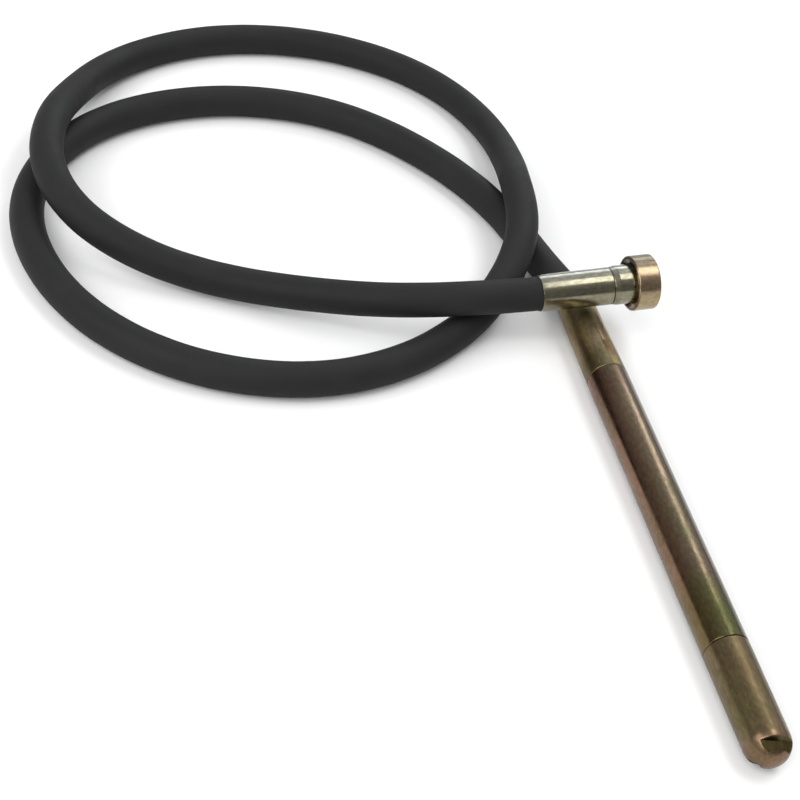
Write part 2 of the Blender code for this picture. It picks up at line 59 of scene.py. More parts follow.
# ---- Head: stations along Y and radii, as in the CAD model --------------------------------------------
HEAD_RADIUS = 0.0180
HEAD_TOP_Y = 0.2500
NOSE_Y = -0.2500
TIP_SEAM_Y = -0.1500
JOINT_SEAM_Y = 0.1500
NOSE_RADIUS = 0.0177
JOINT_BOTTOM_RADIUS = 0.0178
JOINT_TOP_RADIUS = 0.0167
TUBE_BORE = 0.0125
BEARING_BORE = 0.0133
BEARING_SEAT_Y = 0.1050
TIP_SPIGOT_LENGTH = 0.0120
JOINT_SPIGOT_LENGTH = 0.0090
TIP_SPIGOT_RADIUS = 0.0152
JOINT_SPIGOT_RADIUS = 0.0130
JOINT_FLAT_DEPTH = 0.0009
JOINT_FLAT_LENGTH = 0.0320
JOINT_FLAT_TILT = math.radians(17)
NOSE_FLAT_Y = (-0.2464, -0.2380)
NOSE_FLAT_HALF_WIDTHS = (0.0066, 0.0098)
NOSE_FLAT_TILT = math.radians(10)
RACE_OUTER = 0.0140
RACE_BOTTOM_Y = -0.2255

# ---- Hose ---------------------------------------------------------------------------------------------
HOSE_RADIUS = 0.0150
HOSE_BORE = 0.0094
HOSE_SIDES = 56
HOSE_STATIONS = 760
HOSE_END_Y = 0.2225
SOCKET_RADIUS = 0.0153
SOCKET_Y = 0.2215
CORE_BORE = 0.0065

# ---- Coupling: stations from the ferrule's hose-side edge ---------------------------------------------
COUPLING_ORIGIN = Vector((-0.0502, 0.2274, 0.0494))
COUPLING_TILT = math.radians(6)
COUPLING_HEADING = math.radians(4)
FERRULE_LENGTH = 0.0660
FERRULE_RADII = (0.0162, 0.0167)
HOSE_GRIP = 0.0400
NECK_RADIUS = 0.0175
NECK_END = 0.0886
FLANGE_RADIUS = 0.0245
FLANGE = (0.0855, 0.1065)
SEAT_RADIUS = 0.0150
CAVITY_RADIUS = 0.0195
SPINDLE_HEAD_RADIUS = 0.0090
SPINDLE_FACE = 0.0985

# The hose's way from the coupling to the head, as in the CAD model.
ROUTE = [
    (-0.120, 0.222, 0.0460), (-0.178, 0.227, 0.0390), (-0.244, 0.248, 0.0265), (-0.313, 0.274, 0.0180),
    (-0.379, 0.298, 0.0235), (-0.435, 0.336, 0.0370), (-0.461, 0.398, 0.0455), (-0.456, 0.467, 0.0465),
    (-0.429, 0.546, 0.0320), (-0.388, 0.619, 0.0185), (-0.327, 0.669, 0.0150), (-0.225, 0.698, 0.0150),
    (-0.124, 0.681, 0.0150), (-0.042, 0.616, 0.0150), (-0.014, 0.550, 0.0175), (-0.012, 0.474, 0.0290),
    (-0.025, 0.395, 0.0465), (-0.036, 0.331, 0.0440), (-0.068, 0.269, 0.0270), (-0.110, 0.223, 0.0155),
    (-0.165, 0.181, 0.0150), (-0.240, 0.153, 0.0150), (-0.320, 0.155, 0.0150), (-0.388, 0.184, 0.0150),
    (-0.439, 0.233, 0.0150), (-0.471, 0.299, 0.0150), (-0.480, 0.371, 0.0150), (-0.461, 0.445, 0.0150),
    (-0.413, 0.512, 0.0150), (-0.342, 0.556, 0.0150), (-0.256, 0.573, 0.0150), (-0.168, 0.554, 0.0150),
    (-0.092, 0.494, 0.0150), (-0.036, 0.401, 0.0150), (-0.012, 0.310, 0.0158), (-0.004, 0.278, 0.0170),
]


def coupling_matrix():
    """The coupling's frame: its Z runs from the hose to the flange, a little upwards."""
    along = Vector((math.cos(COUPLING_TILT) * math.cos(COUPLING_HEADING),
                    math.cos(COUPLING_TILT) * math.sin(COUPLING_HEADING), math.sin(COUPLING_TILT)))
    up = (Vector((0, 0, 1)) - along * along.z).normalized()
    side = up.cross(along)
    turn = Matrix((side, up, along)).transposed().to_4x4()
    return Matrix.Translation(COUPLING_ORIGIN) @ turn


HEAD_AXIS = Matrix.Translation((0, 0, HEAD_RADIUS)) @ Matrix.Rotation(-math.pi / 2, 4, "X")
COUPLING_AXIS = coupling_matrix()


# ---- Camera -------------------------------------------------------------------------------------------
CAMERA_SPOT = (-0.5576, -0.8431, 0.8844)
CAMERA_LOOK = (0.2718, 0.7162, -0.6428)
CAMERA_ROLL = math.radians(14)
CAMERA_LENS = 74.25          # millimetres, before a sensor 36 mm wide


def add_camera():
    """Looks down at the head from the nose's side, turned a little about its own axis."""
    data = bpy.data.cameras.new("camera")
    data.sensor_width = 36.0
    data.lens = CAMERA_LENS
    camera = bpy.data.objects.new("camera", data)
    SCENE.collection.objects.link(camera)
    look = Vector(CAMERA_LOOK).to_track_quat("-Z", "Y").to_matrix().to_4x4()
    roll = Matrix.Rotation(CAMERA_ROLL, 4, "Z")
    camera.matrix_world = Matrix.Translation(CAMERA_SPOT) @ look @ roll
    SCENE.camera = camera


# ---- Material building --------------------------------------------------------------------------------
class Graph:
    """A material's node tree, with short calls to add nodes and link them."""

    def __init__(self, name):
        self.material = bpy.data.materials.new(name)
        self.material.use_nodes = True
        self.nodes = self.material.node_tree.nodes
        self.links = self.material.node_tree.links
        self.shader = self.nodes["Principled BSDF"]

    def add(self, kind, inputs=None, **settings):
        node = self.nodes.new("ShaderNode" + kind)
        for key, value in settings.items():
            setattr(node, key, value)
        for key, value in (inputs or {}).items():
            self.feed(node.inputs[key], value)
        return node

    def feed(self, socket, value):
        """Sets a socket from a number or colour, or links it to another socket."""
        if isinstance(value, bpy.types.NodeSocket):
            self.links.new(value, socket)
        else:
            socket.default_value = value

    def noise(self, scale, detail=3.0, stretch=(1, 1, 1), shift=(0, 0, 0), rough=0.5, warp=0.0):
        """Noise in the object's own coordinates, stretched and shifted."""
        place = self.add("TexCoord").outputs["Object"]
        mapping = self.add("Mapping", {"Vector": place, "Scale": stretch, "Location": shift})
        settings = {"Vector": mapping.outputs["Vector"], "Scale": scale, "Detail": detail,
                    "Roughness": rough, "Distortion": warp}
        return self.add("TexNoise", settings).outputs["Fac"]

    def remap(self, value, low, high, start=0.0, end=1.0):
        """Runs smoothly from `start` to `end` as the value goes from `low` to `high`."""
        settings = {"Value": value, "From Min": low, "From Max": high, "To Min": start, "To Max": end}
        return self.add("MapRange", settings, clamp=True, interpolation_type="SMOOTHSTEP").outputs["Result"]

    def maths(self, operation, first, second=0.0):
        node = self.add("Math", operation=operation)
        self.feed(node.inputs[0], first)
        self.feed(node.inputs[1], second)
        return node.outputs[0]

    def mix(self, factor, first, second, blend="MIX"):
        node = self.add("Mix", data_type="RGBA", blend_type=blend)
        self.feed(node.inputs["Factor"], factor)
        self.feed(node.inputs["A"], first if isinstance(first, bpy.types.NodeSocket) else (*first, 1.0))
        self.feed(node.inputs["B"], second if isinstance(second, bpy.types.NodeSocket) else (*second, 1.0))
        return node.outputs["Result"]

    def bump(self, height, strength, distance, normal=None):
        settings = {"Height": height, "Strength": strength, "Distance": distance}
        if normal:
            settings["Normal"] = normal
        return self.add("Bump", settings).outputs["Normal"]

    def finish(self, **values):
        """Feeds the shader's sockets, named with underscores, and returns the material."""
        for key, value in values.items():
            if isinstance(value, tuple) and len(value) == 3:
                value = (*value, 1.0)
            self.feed(self.shader.inputs[key.replace("_", " ")], value)
        return self.material


def plated_zinc(name, main, second, third, roughness, turning=0.25, tints_and_painted_light=(), flats_painted_light=None):
    """Yellow-passivated zinc plate: two blotchy tints over the main colour, fine turning marks, scratches.

    Each of `tints_and_painted_light` is (axis letter, from, to, factor): the colour is multiplied by the
    factor from one place on that axis to the other, and past it, with an uneven edge. Some are the plate's
    own tints; others are painted light and shade, which make one side or one stretch of the piece lighter or
    darker. `flats_painted_light` is (centre, radius, end, factor) of a round bar with a ball nose about the
    station `centre`: what is cut away inside it, below the station `end`, has its colour multiplied too:
    painted light and shade on the flats' faces.
    """
    graph = Graph(name)
    texture = graph.add("TexCoord")
    split = graph.add("SeparateXYZ", {"Vector": texture.outputs["Object"]})
    blotch = graph.noise(34, detail=5, stretch=(1, 1, 0.45), rough=0.62, warp=0.6)
    cloud = graph.noise(13, detail=4, stretch=(1, 1, 0.35), shift=(3.1, 1.7, 0.4), rough=0.6)
    fine = graph.noise(420, detail=3, stretch=(1, 1, 0.5), shift=(0.2, 0.9, 5.0))
    colour = graph.mix(graph.remap(blotch, 0.42, 0.66), main, second)
    colour = graph.mix(graph.remap(cloud, 0.50, 0.70, 0.0, 0.8), colour, third)
    # Some zones are painted light and shade: they make one side or one stretch of the piece lighter or
    # darker.
    for letter, start, end, factor in tints_and_painted_light:
        spread = 0.06 if letter == "Z" else 0.004
        drift = graph.maths("MULTIPLY", graph.maths("SUBTRACT", cloud, 0.5), spread)
        place = graph.maths("ADD", split.outputs[letter], drift)
        colour = graph.mix(graph.remap(place, start, end, 0.0, 0.9), colour, factor, blend="MULTIPLY")
    # Painted light and shade on the flats' faces: their colour is multiplied by the factor.
    if flats_painted_light:
        centre, radius, end, factor = flats_painted_light
        past = graph.maths("MINIMUM", graph.maths("SUBTRACT", split.outputs["Z"], centre), 0.0)
        spot = graph.add("CombineXYZ", {"X": split.outputs["X"], "Y": split.outputs["Y"], "Z": past})
        depth = graph.add("VectorMath", {0: spot.outputs["Vector"]}, operation="LENGTH").outputs["Value"]
        inside = graph.remap(depth, radius - 0.0002, radius - 0.0005)
        below = graph.maths("LESS_THAN", split.outputs["Z"], end)
        colour = graph.mix(graph.maths("MULTIPLY", inside, below), colour, factor, blend="MULTIPLY")
    speck = graph.remap(fine, 0.30, 0.75, 0.82, 1.14)
    specks = graph.add("CombineColor", {"Red": speck, "Green": speck, "Blue": speck}).outputs["Color"]
    colour = graph.mix(1.0, colour, specks, blend="MULTIPLY")
    scratch = graph.noise(70, detail=2, stretch=(14, 14, 1.2), shift=(7.0, 2.0, 1.0), warp=0.3)
    scratched = graph.remap(scratch, 0.715, 0.735)
    pale = tuple(min(1.0, 1.5 * channel + 0.08) for channel in main)
    colour = graph.mix(graph.maths("MULTIPLY", scratched, 0.5), colour, pale)
    rough = graph.remap(blotch, 0.30, 0.75, roughness - 0.05, roughness + 0.10)
    rings = graph.noise(60, detail=2, stretch=(0.02, 0.02, 40), shift=(0.0, 0.0, 2.0))
    normal = graph.bump(rings, turning, 0.00003)
    normal = graph.bump(fine, 0.15, 0.00004, normal)
    normal = graph.bump(graph.maths("SUBTRACT", 0.0, scratched), 0.3, 0.00004, normal)
    return graph.finish(Base_Color=colour, Metallic=1.0, Roughness=rough, Normal=normal)


def hose_rubber():
    """Matt black rubber: faint cloth imprint, scuffs along it and a little pale dust."""
    graph = Graph("hose_rubber")
    around = graph.add("TexCoord").outputs["UV"]
    dust = graph.noise(22, detail=5, rough=0.6)
    grain = graph.noise(900, detail=3, rough=0.6)
    cloud = graph.noise(6, detail=3, shift=(1.0, 4.0, 2.0))
    weave = graph.add("TexWave", {"Vector": around, "Scale": 110.0, "Distortion": 1.5, "Detail": 1.0},
                      wave_type="BANDS", bands_direction="DIAGONAL").outputs["Fac"]
    black = (0.0165, 0.0166, 0.0168)
    scuff = (0.0255, 0.0256, 0.0258)
    worn = (0.0205, 0.0207, 0.0210)
    speck = (0.045, 0.045, 0.044)
    colour = graph.mix(graph.remap(dust, 0.45, 0.75, 0.0, 0.55), black, scuff)
    colour = graph.mix(graph.remap(cloud, 0.45, 0.65, 0.0, 0.5), colour, worn)
    colour = graph.mix(graph.remap(grain, 0.62, 0.80, 0.0, 0.30), colour, speck)
    rough = graph.remap(dust, 0.35, 0.70, 0.58, 0.72)
    normal = graph.bump(weave, 0.10, 0.00006)
    normal = graph.bump(grain, 0.28, 0.00010, normal)
    return graph.finish(Base_Color=colour, Roughness=rough, Specular_IOR_Level=0.12, Normal=normal)


def ground_steel(name, tint, roughness):
    """Ground or oiled steel for the inner pieces, with fine rings and slight staining."""
    graph = Graph(name)
    stain = graph.noise(60, detail=4, rough=0.6)
    rings = graph.noise(900, detail=1, stretch=(0.3, 1.0, 0.3))
    darker = tuple(0.72 * channel for channel in tint)
    colour = graph.mix(graph.remap(stain, 0.40, 0.70), tint, darker)
    rough = graph.remap(stain, 0.30, 0.70, roughness, roughness + 0.12)
    normal = graph.bump(rings, 0.2, 0.00003)
    return graph.finish(Base_Color=colour, Metallic=1.0, Roughness=rough, Normal=normal)


def nitrile():
    """Dull black seal rubber."""
    graph = Graph("nitrile")
    grain = graph.noise(700, detail=3)
    colour = graph.mix(graph.remap(grain, 0.4, 0.7), (0.018, 0.018, 0.018), (0.032, 0.031, 0.030))
    return graph.finish(Base_Color=colour, Roughness=0.5, Normal=graph.bump(grain, 0.2, 0.00005))


def floor_finish():
    """Plain pale floor, very slightly uneven in tone."""
    graph = Graph("floor_finish")
    cloud = graph.noise(1.5, detail=4)
    colour = graph.mix(graph.remap(cloud, 0.3, 0.7), (0.86, 0.86, 0.86), (0.88, 0.88, 0.88))
    return graph.finish(Base_Color=colour, Roughness=0.85)


def make_materials():
    """One finish for each slot. The zinc pieces differ in tint, and in the painted light and shade that make
    some sides and stretches lighter or darker.
    """
    return {
        "hose_rubber": hose_rubber(),
        "tip_zinc": plated_zinc(
            "tip_zinc", (0.150, 0.112, 0.060), (0.110, 0.092, 0.040), (0.160, 0.098, 0.062),
            roughness=0.34,
            # The +X side is painted darker, as shade. The pinker nose end is a tint of the plate.
            tints_and_painted_light=(("X", 0.0050, 0.0078, (0.76, 0.74, 0.70)), ("Z", -0.2330, -0.2400, (1.25, 1.06, 1.25))),
            # The nose flats' faces are painted dark, as shade.
            flats_painted_light=(NOSE_Y + NOSE_RADIUS, NOSE_RADIUS, NOSE_FLAT_Y[1] + 0.001, (0.42, 0.50, 0.33))),
        "tube_zinc": plated_zinc(
            "tube_zinc", (0.135, 0.102, 0.068), (0.105, 0.092, 0.050), (0.145, 0.088, 0.072),
            roughness=0.24,
            # The -X side is painted lighter and pinker, as the floor's reflection, and the +X side darker,
            # as shade. The two tints along Z are the plate's own.
            tints_and_painted_light=(("X", -0.0060, -0.0150, (1.50, 1.12, 1.10)), ("X", 0.0050, 0.0078, (0.72, 0.70, 0.68)),
                   ("Z", 0.090, 0.130, (0.92, 0.78, 0.90)), ("Z", -0.070, -0.120, (0.70, 0.88, 0.56)))),
        "joint_zinc": plated_zinc(
            "joint_zinc", (0.165, 0.132, 0.078), (0.140, 0.122, 0.058), (0.170, 0.120, 0.074),
            roughness=0.38,
            # The -X side is painted darker, as shade, and the +X side lighter, as a painted highlight. Near
            # the coupling it is painted lighter, against the ferrule's shade.
            tints_and_painted_light=(("X", -0.0060, -0.0150, (0.86, 0.77, 0.58)), ("X", 0.0005, 0.0060, (1.40, 1.36, 1.35)),
                   ("Z", 0.165, 0.190, (1.90, 1.90, 2.05))),
            # The flats' faces are painted lighter, as a painted highlight.
            flats_painted_light=(JOINT_SEAM_Y, 0.0176, JOINT_SEAM_Y + 0.0345, (1.80, 1.65, 1.55))),
        "ferrule_zinc": plated_zinc(
            "ferrule_zinc", (0.243, 0.224, 0.160), (0.225, 0.210, 0.135), (0.272, 0.252, 0.195),
            roughness=0.21, turning=0.12,
            # Pale bluish bands across the +X side are painted highlight and painted reflection.
            tints_and_painted_light=(("X", -0.0080, -0.0040, (0.94, 1.00, 1.16)), ("X", -0.0025, 0.0040, (1.38, 1.42, 1.62)))),
        "flange_zinc": plated_zinc(
            "flange_zinc", (0.330, 0.245, 0.158), (0.310, 0.250, 0.145), (0.320, 0.208, 0.145),
            # The +X side is painted darker, as shade.
            roughness=0.27, turning=0.35, tints_and_painted_light=(("X", -0.0085, -0.0050, (0.50, 0.56, 0.62)),)),
        "bright_steel": ground_steel("bright_steel", (0.60, 0.60, 0.62), 0.22),
        "dark_steel": ground_steel("dark_steel", (0.20, 0.20, 0.21), 0.34),
        "seal_rubber": nitrile(),
        "bearing_cage": ground_steel("bearing_cage", (0.62, 0.46, 0.20), 0.30),
    }


# ---- Shape building -----------------------------------------------------------------------------------
def rounded(profile, size, closed=True):
    """Rounds a profile's corners, keeping a short straight beside each so that long faces stay flat."""
    count = len(profile)
    result = []
    for i, point in enumerate(profile):
        here = Vector(point)
        back = Vector(profile[i - 1]) - here
        ahead = Vector(profile[(i + 1) % count]) - here
        is_end = not closed and i in (0, count - 1)
        if is_end or math.pi - back.angle(ahead) < math.radians(25):
            result.append(point)
            continue
        reach = min(size, 0.35 * back.length, 0.35 * ahead.length)
        start = here + back.normalized() * reach
        end = here + ahead.normalized() * reach
        result.append(tuple(here + back.normalized() * reach * 1.35))
        for k in range(4):
            t = k / 3
            result.append(tuple((1 - t) ** 2 * start + 2 * t * (1 - t) * here + t ** 2 * end))
        result.append(tuple(here + ahead.normalized() * reach * 1.35))
    return result


def turned(name, profile, axis, closed=True, fillet=0.0004):
    """Turns a profile of (radius, station) points, which runs down its outer side and up its inner side."""
    points = rounded(profile, fillet, closed)
    mesh = bpy.data.meshes.new(name)
    edges = [(i, i + 1) for i in range(len(points) - 1)]
    if closed:
        edges.append((len(points) - 1, 0))
    mesh.from_pydata([(radius, 0.0, station) for radius, station in points], edges, [])
    obj = bpy.data.objects.new(name, mesh)
    SCENE.collection.objects.link(obj)
    obj.matrix_world = axis
    screw = obj.modifiers.new("turn", "SCREW")
    screw.axis = "Z"
    screw.angle = 2 * math.pi
    screw.steps = STEPS
    screw.render_steps = STEPS
    screw.use_merge_vertices = True
    screw.merge_threshold = 0.000005
    screw.use_smooth_shade = True
    return obj


def settle(obj):
    """Makes the modifiers' result the mesh, smooth but for its sharp edges."""
    bpy.context.view_layer.update()
    depsgraph = bpy.context.evaluated_depsgraph_get()
    mesh = bpy.data.meshes.new_from_object(obj.evaluated_get(depsgraph))
    mesh.name = obj.name
    obj.modifiers.clear()
    obj.data = mesh
    mesh.shade_smooth()
    mesh.set_sharp_from_angle(angle=SHARP_ANGLE)
    return obj


def box_cutter(name, size, axis, matrix, shear=None):
    """A box to cut away, placed by `matrix` in the piece's own frame, `axis`."""
    shape = bmesh.new()
    bmesh.ops.create_cube(shape, size=1.0, matrix=Matrix.Diagonal((*size, 1.0)))
    if shear:
        bmesh.ops.transform(shape, matrix=shear, verts=shape.verts)
    mesh = bpy.data.meshes.new(name)
    shape.to_mesh(mesh)
    shape.free()
    obj = bpy.data.objects.new(name, mesh)
    SCENE.collection.objects.link(obj)
    obj.matrix_world = axis @ matrix
    return obj


def cut(obj, cutters, soften):
    """Cuts the shapes away, bevels the edges by `soften` and removes the cutters."""
    for cutter in cutters:
        boolean = obj.modifiers.new(cutter.name, "BOOLEAN")
        boolean.operation = "DIFFERENCE"
        boolean.solver = "EXACT"
        boolean.object = cutter
    if soften:
        bevel = obj.modifiers.new("soften", "BEVEL")
        bevel.width = soften
        bevel.segments = 2
        bevel.limit_method = "ANGLE"
        bevel.angle_limit = math.radians(24)
    settle(obj)
    for cutter in cutters:
        bpy.data.objects.remove(cutter, do_unlink=True)


def cut_flats(obj, axis, half_widths, stations, tilt, soften=0.00025):
    """Two opposite spanner flats between two stations, with a half width at each of the two."""
    low, high = stations
    thickness = 0.010
    middle = sum(half_widths) / 2
    slope = (half_widths[1] - half_widths[0]) / (high - low)
    cutters = []
    for side in (1, -1):
        turn = Matrix.Rotation(tilt, 4, "Z")
        spot = Matrix.Translation((0, -side * (middle + thickness / 2), (low + high) / 2))
        shear = Matrix.Identity(4)
        shear[1][2] = -side * slope
        cutters.append(box_cutter(f"flat_{side}", (0.060, thickness, high - low), axis, turn @ spot, shear))
    cut(obj, cutters, soften)


# ---- Head ---------------------------------------------------------------------------------------------
def tip():
    """The closed tip: a round nose with two flats, bored for the race and for the tube's spigot."""
    nose_centre = NOSE_Y + NOSE_RADIUS
    seam = TIP_SEAM_Y - GAP
    race_floor = RACE_BOTTOM_Y - 0.0015
    spigot_floor = TIP_SEAM_Y - TIP_SPIGOT_LENGTH - 0.0020
    profile = [(0, race_floor), (RACE_OUTER + GAP, race_floor), (RACE_OUTER + GAP, spigot_floor),
               (TIP_SPIGOT_RADIUS + GAP, spigot_floor), (TIP_SPIGOT_RADIUS + GAP, seam),
               (HEAD_RADIUS - EDGE, seam), (HEAD_RADIUS, seam - EDGE)]
    arc_points = 36
    for i in range(arc_points):
        angle = math.pi / 2 * i / arc_points
        profile.append((NOSE_RADIUS * math.cos(angle), nose_centre - NOSE_RADIUS * math.sin(angle)))
    profile.append((0, NOSE_Y))
    obj = turned("needle_tip", profile, HEAD_AXIS, closed=False)
    cut_flats(obj, HEAD_AXIS, NOSE_FLAT_HALF_WIDTHS, NOSE_FLAT_Y, NOSE_FLAT_TILT, soften=0.00045)
    return obj


def tube():
    """The long tube: a spigot with a seal groove at the tip's end, and the bearings' seat at the other."""
    spigot_end = TIP_SEAM_Y - TIP_SPIGOT_LENGTH
    seal_groove = (TIP_SEAM_Y - 0.0037, TIP_SEAM_Y - 0.0057)
    seal_groove_radius = 0.0137
    ring_groove = (0.1382, 0.1364)
    ring_groove_radius = 0.0141
    profile = [(HEAD_RADIUS - EDGE, JOINT_SEAM_Y), (HEAD_RADIUS, JOINT_SEAM_Y - EDGE),
               (HEAD_RADIUS, TIP_SEAM_Y + EDGE), (HEAD_RADIUS - EDGE, TIP_SEAM_Y),
               (TIP_SPIGOT_RADIUS, TIP_SEAM_Y), (TIP_SPIGOT_RADIUS, seal_groove[0]),
               (seal_groove_radius, seal_groove[0]), (seal_groove_radius, seal_groove[1]),
               (TIP_SPIGOT_RADIUS, seal_groove[1]), (TIP_SPIGOT_RADIUS, spigot_end),
               (TUBE_BORE, spigot_end), (TUBE_BORE, BEARING_SEAT_Y), (BEARING_BORE, BEARING_SEAT_Y),
               (BEARING_BORE, ring_groove[1]), (ring_groove_radius, ring_groove[1]),
               (ring_groove_radius, ring_groove[0]), (BEARING_BORE, ring_groove[0]),
               (BEARING_BORE, JOINT_SEAM_Y)]
    return settle(turned("needle_tube", profile, HEAD_AXIS, fillet=0.0002))


def joint():
    """The tapered joint: two flats, a spigot with a seal groove below, and the hose's socket above."""
    seam = JOINT_SEAM_Y + GAP
    spigot_end = JOINT_SEAM_Y - JOINT_SPIGOT_LENGTH
    seal_groove = (JOINT_SEAM_Y - 0.0030, JOINT_SEAM_Y - 0.0048)
    seal_groove_radius = 0.0118
    bore = 0.0095
    profile = [(JOINT_TOP_RADIUS - EDGE, HEAD_TOP_Y), (JOINT_TOP_RADIUS, HEAD_TOP_Y - EDGE),
               (JOINT_BOTTOM_RADIUS, seam + EDGE), (JOINT_BOTTOM_RADIUS - EDGE, seam),
               (JOINT_SPIGOT_RADIUS, seam), (JOINT_SPIGOT_RADIUS, seal_groove[0]),
               (seal_groove_radius, seal_groove[0]), (seal_groove_radius, seal_groove[1]),
               (JOINT_SPIGOT_RADIUS, seal_groove[1]), (JOINT_SPIGOT_RADIUS, spigot_end),
               (bore, spigot_end), (bore, SOCKET_Y), (SOCKET_RADIUS, SOCKET_Y), (SOCKET_RADIUS, HEAD_TOP_Y)]
    obj = turned("hose_joint", profile, HEAD_AXIS, fillet=0.0002)
    low = seam + 0.0012
    half_width = JOINT_BOTTOM_RADIUS - JOINT_FLAT_DEPTH
    cut_flats(obj, HEAD_AXIS, (half_width, half_width), (low, low + JOINT_FLAT_LENGTH), JOINT_FLAT_TILT)
    return obj


# ---- Coupling -----------------------------------------------------------------------------------------
def ferrule():
    """The sleeve pressed over the hose's end and the coupling's spigot."""
    hose_stop = HOSE_GRIP + 0.0008
    spigot_bore = 0.0143
    lip_length = 0.0040
    lip_depth = 0.0004
    profile = [(FERRULE_RADII[1] - EDGE, FERRULE_LENGTH), (FERRULE_RADII[1], FERRULE_LENGTH - EDGE),
               (FERRULE_RADII[0], lip_length), (FERRULE_RADII[0] - lip_depth, 0), (SOCKET_RADIUS, 0),
               (SOCKET_RADIUS, hose_stop), (spigot_bore, hose_stop), (spigot_bore, FERRULE_LENGTH)]
    return settle(turned("hose_ferrule", profile, COUPLING_AXIS, fillet=0.0002))


def body():
    """The coupling's body: a stem inside the hose, the neck, and the seats of the bearing and the flange."""
    stem_radius = 0.0076
    stem_start = 0.0020
    stem_end = HOSE_GRIP + 0.0012
    spigot_radius = 0.0140
    ring_groove = (0.0946, 0.0962)
    ring_groove_radius = 0.0140
    tail_room = (0.0620, 0.0680)
    tail_room_radius = 0.0090
    bearing_bore = 0.0113
    inner_groove = (0.0812, 0.0828)
    inner_groove_radius = 0.0121
    front = 0.0971
    neck_start = FERRULE_LENGTH + GAP
    # A shallow cone runs up to the shoulder. The points close beside it keep both faces' shading straight.
    shoulder = neck_start + 0.0055
    beside = 0.0006
    neck = [(NECK_RADIUS, NECK_END), (NECK_RADIUS, shoulder + beside), (NECK_RADIUS, shoulder),
            (NECK_RADIUS - 0.0001, shoulder - beside), (NECK_RADIUS - 0.0011, neck_start + 0.0003),
            (NECK_RADIUS - 0.0016, neck_start)]
    profile = [(SEAT_RADIUS, front), (SEAT_RADIUS, ring_groove[1]), (ring_groove_radius, ring_groove[1]),
               (ring_groove_radius, ring_groove[0]), (SEAT_RADIUS, ring_groove[0]), (SEAT_RADIUS, NECK_END),
               *neck, (spigot_radius, neck_start), (spigot_radius, stem_end), (stem_radius, stem_end),
               (stem_radius, stem_start), (CORE_BORE, stem_start), (CORE_BORE, tail_room[0]),
               (tail_room_radius, tail_room[0]), (tail_room_radius, tail_room[1]),
               (bearing_bore, tail_room[1]), (bearing_bore, inner_groove[0]),
               (inner_groove_radius, inner_groove[0]), (inner_groove_radius, inner_groove[1]),
               (bearing_bore, inner_groove[1]), (bearing_bore, front)]
    return settle(turned("drive_body", profile, COUPLING_AXIS, fillet=0.0003))


def flange():
    """The collar for the motor's clamp: a dished back, a web on the body's seat and an open front."""
    back, front = FLANGE
    chamfer = 0.0010
    web = (0.0889, 0.0938)
    dish = [(0.0215, back), (0.0195, back + 0.0015), (NECK_RADIUS + GAP, back + 0.0022)]
    profile = [(FLANGE_RADIUS - chamfer, front), (FLANGE_RADIUS, front - chamfer),
               (FLANGE_RADIUS, back + chamfer), (FLANGE_RADIUS - chamfer, back), *dish,
               (NECK_RADIUS + GAP, web[0]), (SEAT_RADIUS + GAP, web[0]), (SEAT_RADIUS + GAP, web[1]),
               (CAVITY_RADIUS, web[1]),
               (CAVITY_RADIUS, front - chamfer), (CAVITY_RADIUS + chamfer, front)]
    return settle(turned("drive_flange", profile, COUPLING_AXIS, fillet=0.0004))


def spindle():
    """The drive spindle: a cross-slotted head, the bearing's journal, and a bored tail."""
    shaft = 0.0058
    journal_radius = 0.0039
    journal = (0.0658, 0.0756)
    head_back = 0.0871
    tail = (0.0552, 0.0655)
    bore_radius = 0.0045
    bore_floor = 0.0630
    profile = [(0, SPINDLE_FACE), (SPINDLE_HEAD_RADIUS - EDGE, SPINDLE_FACE),
               (SPINDLE_HEAD_RADIUS, SPINDLE_FACE - EDGE), (SPINDLE_HEAD_RADIUS, head_back),
               (shaft, head_back), (shaft, journal[1]), (journal_radius, journal[1]),
               (journal_radius, journal[0]), (shaft, tail[1]), (shaft, tail[0]), (bore_radius, tail[0]),
               (bore_radius, bore_floor), (0, bore_floor)]
    obj = turned("slotted_spindle", profile, COUPLING_AXIS, closed=False, fillet=0.0002)
    slot = (0.0300, 0.0050, 0.0120)    # length, width and twice the depth
    cutters = []
    for i in range(2):
        spot = Matrix.Rotation(i * math.pi / 2, 4, "Z") @ Matrix.Translation((0, 0, SPINDLE_FACE))
        cutters.append(box_cutter(f"slot_{i}", slot, COUPLING_AXIS, spot))
    cut(obj, cutters, 0.0)
    return obj


# ---- Hose ---------------------------------------------------------------------------------------------
def smooth_curve(points, count):
    """Stations on the natural cubic spline through the points, never lower than a hose on the floor.

    The first and the last span stay straight.
    """
    points = np.array(points, dtype=float)
    spans = np.linalg.norm(np.diff(points, axis=0), axis=1)
    knots = np.concatenate(([0.0], np.cumsum(spans)))
    size = len(points)
    system = np.eye(size)
    right = np.zeros((size, 3))
    for i in range(1, size - 1):
        system[i, i - 1] = spans[i - 1]
        system[i, i] = 2 * (spans[i - 1] + spans[i])
        system[i, i + 1] = spans[i]
        right[i] = 6 * ((points[i + 1] - points[i]) / spans[i] - (points[i] - points[i - 1]) / spans[i - 1])
    bend = np.linalg.solve(system, right)
    stations = [points[0]]
    for knot in np.linspace(knots[1], knots[-2], count - 2):
        i = min(int(np.searchsorted(knots, knot, side="right")) - 1, size - 2)
        ahead = (knot - knots[i]) / spans[i]
        back = 1 - ahead
        chord = back * points[i] + ahead * points[i + 1]
        bulge = (back ** 3 - back) * bend[i] + (ahead ** 3 - ahead) * bend[i + 1]
        station = chord + bulge * spans[i] ** 2 / 6
        station[2] = max(station[2], HOSE_RADIUS)
        stations.append(station)
    return [*stations, points[-1]]


